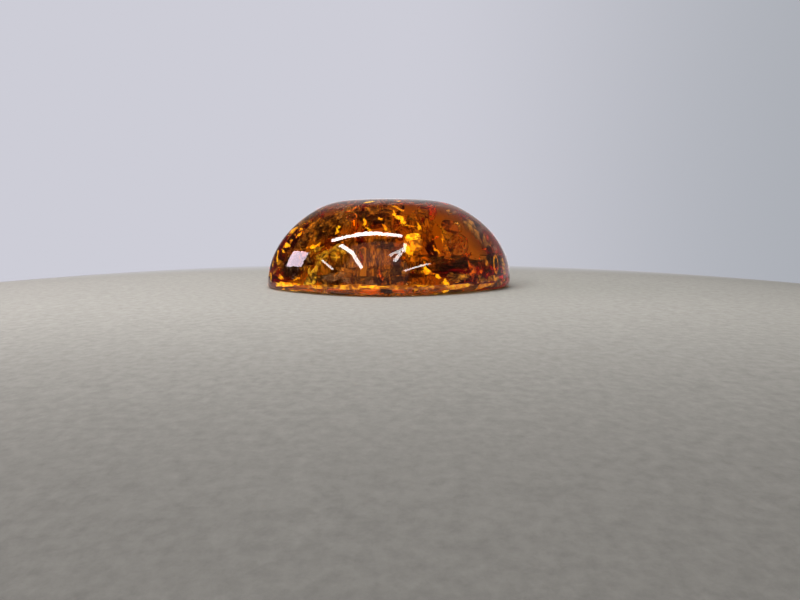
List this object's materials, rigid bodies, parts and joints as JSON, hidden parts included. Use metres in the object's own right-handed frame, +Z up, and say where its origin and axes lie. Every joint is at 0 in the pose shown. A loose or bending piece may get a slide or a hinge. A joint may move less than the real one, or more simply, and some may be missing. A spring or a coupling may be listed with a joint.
{
  "type": "amber cabochon",
  "caption": "Polished free-form oval amber cabochon with a flat base, a nearly flat top and natural flakes and specks sealed inside.",
  "frame": {"origin": "middle of the stone's length and width, on the plane of its flat base", "axes": "+X along the stone's length, towards its blunter end; +Y from its front to its back; +Z up, from the flat base to the domed top"},
  "size_m": [0.03, 0.024, 0.0107],
  "materials": {
    "amber_cabochon": "polished, see-through"
  },
  "bodies": {
    "root": {"amber_cabochon": "amber_cabochon"}
  },
  "joints": []
}
